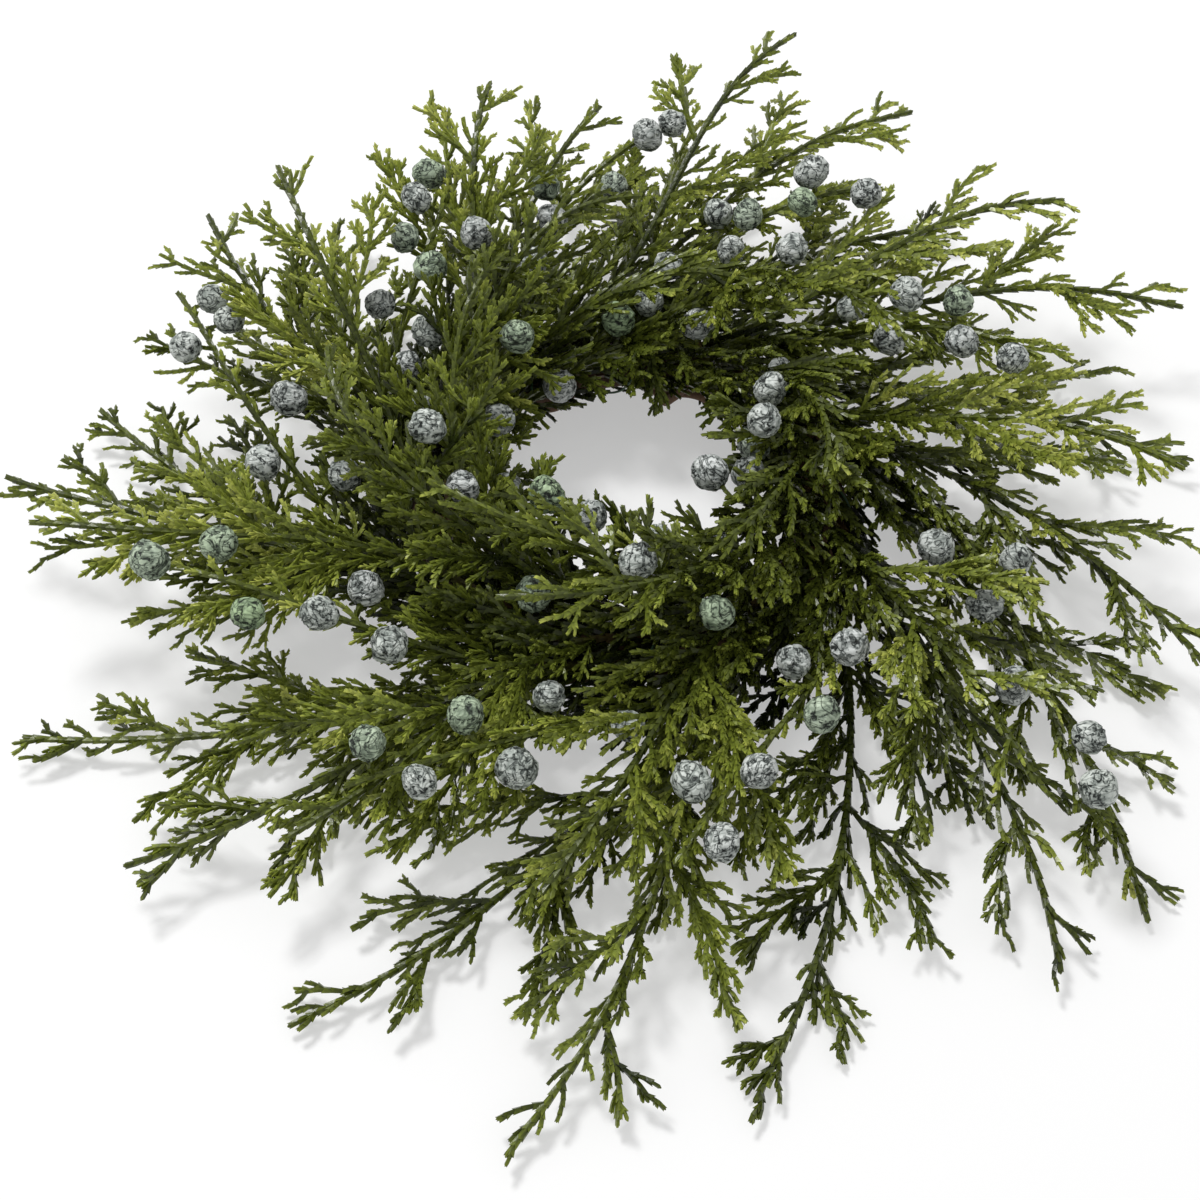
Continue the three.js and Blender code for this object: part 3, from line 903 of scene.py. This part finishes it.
def foliage(rng, line, leaders, branch_length):
    """A spray's branches, twigs and tips. How far out on the spray a line counts as, is 0.6 of its parent's
    share and 0.4 of its own, and it decides how many are left out."""
    branches = grow(rng, line, length_of=branch_length, **BRANCH_HABIT)
    off_leaders = grow(rng, leaders, length_of=OFF_LEADER_LENGTH, **OFF_LEADER_HABIT)
    off_leaders["share"] = 0.6 * leaders["share"][off_leaders["owner"]] + 0.4 * off_leaders["share"]
    branches = thinned(rng, fitted(joined(branches, off_leaders), "branch"), MISSING_AT_TIP["branch"])
    bearing = joined(branches, leaders)
    twigs = grow(rng, bearing, length_of=TWIG_LENGTH, **TWIG_HABIT)
    twigs["share"] = 0.6 * bearing["share"][twigs["owner"]] + 0.4 * twigs["share"]
    twigs = thinned(rng, fitted(twigs, "twig"), MISSING_AT_TIP["twig"])
    tips = grow(rng, twigs, length_of=TIP_LENGTH, **TIP_HABIT)
    tips["share"] = twigs["share"][tips["owner"]]
    tips = thinned(rng, fitted(tips, "tip"), MISSING_AT_TIP["tip"])
    return branches, twigs, tips


def spray(rng, stem, shoots, vigour, stem_radius, youth_and_shade):
    """All grids of one spray, whose flat side faces up and a little outwards. A branch on the stem is
    vigour × (0.16 + 0.84 × (1 - f)^1.25) long, where f is the share of the free stem behind it. The spray's
    youth level is 0 for old and dark foliage and 1 for young and pale, and painted light and shade by each
    twig's place are added to it."""
    length = np.linalg.norm(np.diff(stem, axis=0), axis=1).sum()
    ways = unit(np.gradient(stem, axis=0))
    facing = np.array([0, 0, 1.0]) + 0.35 * unit(stem[len(stem) // 2] - ring_middle)
    facing = facing + 0.25 * rng.normal(size=3)
    flat = unit(facing - ways.mean(axis=0) * (facing @ ways.mean(axis=0)))
    droop = rng.uniform(0.02, 0.12)
    line = {
        "line": stem[None],
        "length": np.array([length]),
        "flat": flat[None],
        "start_side": rng.integers(0, 2, 1),
        "droop": np.array([droop]),
    }

    def branch_length(share, _):
        """Short where the stem is tied, longest just past that, and shorter again towards its tip."""
        free = np.clip((share * length - TIED_LENGTH) / (length - TIED_LENGTH), 0, 1)
        return vigour * (0.16 + 0.84 * (1 - free) ** 1.25) * smooth_step(free, -0.2, 0.12)

    leaders = fitted(leader_lines(stem, flat, droop, *shoots), "leader")
    branches, twigs, tips = foliage(rng, line, leaders, branch_length)
    # Painted light and shade by place are added to the youth mark here, so the green also stands in for
    # light.
    leader_youth_and_shade = youth_and_shade + painted_light_and_shade(leaders) + 0.05 * rng.normal(size=len(leaders["length"]))
    branch_youth_and_shade = youth_and_shade + painted_light_and_shade(branches) + 0.08 * rng.normal(size=len(branches["length"]))
    twig_youth_and_shade = np.concatenate([branch_youth_and_shade, leader_youth_and_shade])[twigs["owner"]] + 0.06 + 0.10 * twigs["share"]
    twig_youth_and_shade += 0.06 * rng.normal(size=len(twig_youth_and_shade))
    tip_youth_and_shade = twig_youth_and_shade[tips["owner"]] + 0.12

    def woody(places):
        """1 at the stem's cut end, and 0 a good way past the tie."""
        return 1 - smooth_step(places * length, 0.6 * TIED_LENGTH, 1.8 * TIED_LENGTH)

    radius = same(stem_radius, line), same(0.78 * stem_radius, line)
    stem_youth_and_shade = same(youth_and_shade + 0.12, line)
    grids = list(leafy_grids(line, 6, STEM_PAIR_LENGTH, radius, same(0.20, line), stem_youth_and_shade, wood=woody))
    grids += clad(leaders, "leader", same(0.28, leaders), leader_youth_and_shade)
    grids += clad(branches, "branch", same(0.34, branches), branch_youth_and_shade)
    grids += clad(twigs, "twig", 0.32 + 0.45 * np.clip(twig_youth_and_shade, 0, 1), twig_youth_and_shade)
    grids += clad(tips, "tip", 0.36 + 0.50 * np.clip(tip_youth_and_shade, 0, 1), tip_youth_and_shade)
    return grids


# %% Make the sprays
LEAF_MARKS = ["youth_and_shade", "point_light_and_neck_shade", "wood"]
SPRAY_STEM_RADIUS = 1.3 * MM
SPRAY_KINDS = {
    "spray_low": {"vigour": 45 * MM, "youth_and_shade": 0.18},
    "spray_mid": {"vigour": 42 * MM, "youth_and_shade": 0.16},
    "spray_high": {"vigour": 38 * MM, "youth_and_shade": 0.17},
    "spray_crown": {"vigour": 48 * MM, "youth_and_shade": 0.20},
}
faces_made = 0
for number, name in enumerate(spray_names):
    rng = np.random.default_rng(1000 + number)
    kind = SPRAY_KINDS[name.rsplit("_", 1)[0]]
    youth_and_shade = kind["youth_and_shade"] + 0.05 * rng.normal()
    grids = spray(rng, stems[name], shoots_of[name], kind["vigour"], SPRAY_STEM_RADIUS, youth_and_shade)
    piece = new_piece(f"leafy_{name}", grids, LEAVES, LEAF_MARKS)
    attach(piece, "root")
    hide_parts(name)
    faces_made += len(piece.data.polygons)
print("leafy sprays:", len(spray_names), "with", faces_made, "four-sided faces")

# %% [markdown]
# ## Berries
#
# A juniper berry is a round cone whose scales have grown together. It keeps their seams as shallow grooves,
# and has a small nub where they meet. The skin is a ball whose radius dips along a few planes, one for each
# seam, and swells in low lumps between them. Berries sit on short stalks along the outer and inner twigs.

# %% A berry's skin
BERRY_ROWS, BERRY_SIDES = 20, 26
SEAMS, SEAM_DEPTH, SEAM_WIDTH = 6, 0.075, 0.06
LIP_HEIGHT, LIP_PLACE, LIP_WIDTH = 0.040, 0.13, 0.08
LUMPS, LUMP_HEIGHT = 6, 0.022
NUB_HEIGHT, NUB_WIDTH = 0.05, 0.22


def along_ways(directions, ways):
    """How far each direction (rows, sides, 3) goes along each berry's own way (n, 3): their dot product."""
    return np.einsum("rsk,nk->nrs", directions, ways)


def berry_grids(rng, middles, ways, radii, unripe):
    """Berries as grids of rings from pole to pole, with the poles on the stalk's line. For a direction n the
    radius is the berry's × (1 + lumps + lips - seams). A seam is depth × exp(-((n·normal - shift) / width)²).
    A lip on either side of it is the same with a place of its own, and a lump is the sine of n·pull."""
    rows, sides = BERRY_ROWS, BERRY_SIDES
    lift = np.linspace(0, np.pi, rows)
    lift[[0, -1]] = 0.03, np.pi - 0.03
    spin = 2 * np.pi * np.arange(sides) / sides
    ring = np.stack([np.cos(spin), np.sin(spin), 0 * spin], axis=-1)
    to_pole = np.array([0, 0, -1.0])
    directions = np.sin(lift)[:, None, None] * ring[None] + np.cos(lift)[:, None, None] * to_pole
    count = len(middles)
    shape = np.ones((count, rows, sides))
    seam = np.zeros_like(shape)
    for _ in range(SEAMS):
        normal = unit(rng.normal(size=(count, 3)))
        shift = rng.uniform(-0.8, 0.8, count)[:, None, None]
        wave = 0.10 * np.sin(along_ways(directions, 4 * unit(rng.normal(size=(count, 3)))))
        near = along_ways(directions, normal) - shift + wave
        seam = np.maximum(seam, np.exp(-((near / SEAM_WIDTH) ** 2)))
        shape += LIP_HEIGHT * np.exp(-(((np.abs(near) - LIP_PLACE) / LIP_WIDTH) ** 2))
    shape -= SEAM_DEPTH * seam
    for _ in range(LUMPS):
        pull = rng.normal(size=(count, 3)) * 2.4
        start = rng.uniform(0, 6, count)[:, None, None]
        shape += LUMP_HEIGHT * np.sin(along_ways(directions, pull) + start)
    longer = np.abs(along_ways(directions, unit(rng.normal(size=(count, 3)))))
    shape *= 0.96 + 0.10 * longer**2
    nub = np.exp(-((np.pi - lift) / NUB_WIDTH) ** 2)[None, :, None]
    shape += NUB_HEIGHT * nub
    seam = np.maximum(seam, 0.7 * nub)
    side = unit(np.cross(ways, unit(rng.normal(size=(count, 3)))))
    axes = np.stack([side, np.cross(ways, side), ways], axis=1)
    placed = np.einsum("nrs,rsk,nkj->nrsj", shape * radii[:, None, None], directions, axes)
    return middles[:, None, None] + placed, seam, unripe[:, None, None]


# %% Inward shoots and stalks
INWARD_SHOOTS = 6
INWARD_LENGTH = 25 * MM


def inward_shoots(rng, stem, shoots, count, length):
    """An inner twig's shoots with `count` more, which lean into the open middle. Each leaves the outer half
    of the stem in the way of inward + 0.4 × the stem's own way + a little up or down."""
    roots = (np.linspace(0.48, 0.95, count) * (len(stem) - 1)).astype(int)
    level = np.array([1, 1, 0])
    way = unit((ring_middle - stem[roots]) * level) + 0.4 * unit(np.gradient(stem, axis=0))[roots]
    way = unit(way + rng.normal(size=(count, 3)) * np.array([0.15, 0.15, 0.35]))
    tips = stem[roots] + length * rng.uniform(0.7, 1.2, count)[:, None] * way
    return np.concatenate([shoots[0], roots]), np.concatenate([shoots[1], tips])


def stalk_lines(stem, middles, radii):
    """Short stalks: each goes from the nearest place on the stem to just inside its berry, with a slight bow:
    a point at share u is root + length × (u × way + 0.10 × sin(πu) × the stem's own way)."""
    gaps = np.linalg.norm(stem[None] - middles[:, None], axis=-1)
    nearest = gaps.argmin(axis=1)
    root = stem[nearest]
    way = unit(middles - root)
    ahead = unit(np.gradient(stem, axis=0))[nearest]
    length = np.linalg.norm(middles - root, axis=1) - 0.9 * radii
    u = np.linspace(0, 1, LINE_POINTS)[None, :, None]
    bow = 0.10 * np.sin(np.pi * u) * ahead[:, None]
    line = root[:, None] + length[:, None, None] * (u * way[:, None] + bow)
    return {"line": line, "length": length, "flat": unit(np.cross(way, ahead))}, way


# %% Make the berried twigs
BERRY_MARKS = ["seam", "unripe"]
TWIG_STEM_RADIUS = 1.15 * MM
OUTER_VIGOUR, INNER_VIGOUR = 24 * MM, 32 * MM
GREEN_BERRIES = 0.2

for number, name in enumerate(twig_names):
    rng = np.random.default_rng(2000 + number)
    middles = berries[name]
    count = len(middles)
    radii = BERRY_RADIUS * rng.uniform(0.84, 1.03, count)
    stalks, ways = stalk_lines(stems[name], middles, radii)
    unripe = 0.15 * rng.random(count) + (rng.random(count) < GREEN_BERRIES) * rng.uniform(0.3, 0.85, count)
    skins = berry_grids(rng, middles, ways, radii, unripe)
    fruit = new_piece(f"berries_{name}", [skins], BERRIES, BERRY_MARKS, smooth=True)
    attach(fruit, "root")
    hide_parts(name)
    youth_and_shade = 0.18 + 0.06 * rng.normal()
    shoots, vigour = shoots_of[name], OUTER_VIGOUR
    if "inner" in name:
        shoots, vigour = inward_shoots(rng, stems[name], shoots, INWARD_SHOOTS, INWARD_LENGTH), INNER_VIGOUR
    grids = spray(rng, stems[name], shoots, vigour, TWIG_STEM_RADIUS, youth_and_shade)
    grids += clad(stalks, "stalk", same(0.2, stalks), same(0.35, stalks))
    twig = new_piece(f"leafy_{name}", grids, LEAVES, LEAF_MARKS)
    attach(twig, "root")
    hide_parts(name)
    faces_made += len(twig.data.polygons)
print("berries:", len(all_berries), "and four-sided leaf faces in all:", faces_made)

# %% [markdown]
# ## Camera, floor and light
#
# The wreath lies on a white table and is seen from in front and above, at about fifty degrees. The light is
# very soft: a white room that shines evenly from all round, and one window, high at the back left, which
# puts small glints on the waxy leaves and a faint shadow in front. The table glows a little itself, as
# white paper under strong light seems to, so that no shadow on it gets deep.

# %% Camera
ELEVATION = np.radians(50)
DISTANCE = 0.6
AIM_FROM_RING = np.array([-8, -45, 15]) * MM


def aim(thing, place, target):
    """Puts an object at a place and turns its -Z axis to a target."""
    thing.location = place
    thing.rotation_euler = (Vector(target) - Vector(place)).to_track_quat("-Z", "Y").to_euler()


target = np.array([ring_middle[0], ring_middle[1], 0]) + AIM_FROM_RING
camera_data = bpy.data.cameras.new("camera")
camera_data.sensor_width = 36
camera_data.angle = np.radians(33)
camera_data.clip_start = 0.01
camera = bpy.data.objects.new("camera", camera_data)
bpy.context.scene.collection.objects.link(camera)
aim(camera, target + DISTANCE * np.array([0, -np.cos(ELEVATION), np.sin(ELEVATION)]), target)
bpy.context.scene.camera = camera
print("camera at", [round(value, 3) for value in camera.location])

# %% Table
FLOOR_HALF = 4.0
floor_corners = [(FLOOR_HALF * x, FLOOR_HALF * y, 0) for x, y in ((-1, -1), (1, -1), (1, 1), (-1, 1))]
floor_mesh = bpy.data.meshes.new("floor")
floor_mesh.from_pydata(floor_corners, [], [(0, 1, 2, 3)])
floor_material, _, floor_shader = new_material("white_table", 0.9)
floor_shader.inputs["Base Color"].default_value = (0.47, 0.47, 0.47, 1)
floor_shader.inputs["Emission Color"].default_value = (1, 1, 1, 1)
floor_shader.inputs["Emission Strength"].default_value = 0.43
floor_mesh.materials.append(floor_material)
floor = bpy.data.objects.new("floor", floor_mesh)
bpy.context.scene.collection.objects.link(floor)

# %% Light
WINDOW_PLACE = (-0.6, 0.7, 1.8)
world = bpy.data.worlds.new("soft_room")
world.use_nodes = True
sky = world.node_tree.nodes["Background"]
sky.inputs["Color"].default_value = (1.0, 1.0, 1.0, 1)
sky.inputs["Strength"].default_value = 0.64
bpy.context.scene.world = world
window_light = bpy.data.lights.new("window", "AREA")
window_light.size = 0.45
window_light.energy = 30
window = bpy.data.objects.new("window", window_light)
bpy.context.scene.collection.objects.link(window)
aim(window, WINDOW_PLACE, target)
bpy.context.scene.view_settings.view_transform = "Standard"
